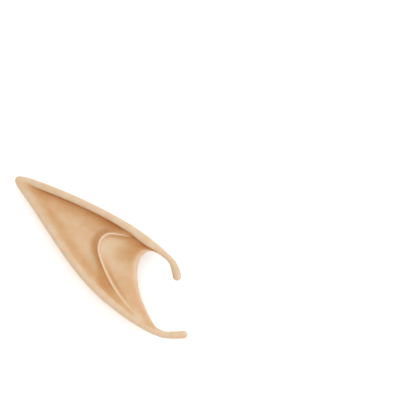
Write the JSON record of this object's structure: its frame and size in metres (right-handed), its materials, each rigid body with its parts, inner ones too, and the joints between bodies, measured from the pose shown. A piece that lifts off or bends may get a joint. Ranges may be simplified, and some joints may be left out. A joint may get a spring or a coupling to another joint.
{
  "type": "elf ear tip",
  "caption": "Long pointed slip-on ear tip of soft latex: hollow pocket behind a rolled rim and an inner fold, with a curved hook above the open mouth and a straight prong below it.",
  "frame": {"origin": "middle of the bounding box in plan, at the height of the flat patch on which the back rests", "axes": "+X from the point towards the open mouth, +Y up as worn, towards the hook, +Z out of the front of the ear"},
  "size_m": [0.1056, 0.0993, 0.0187],
  "materials": {
    "latex": "matte"
  },
  "bodies": {
    "root": {"ear_tip": "latex"}
  },
  "joints": []
}
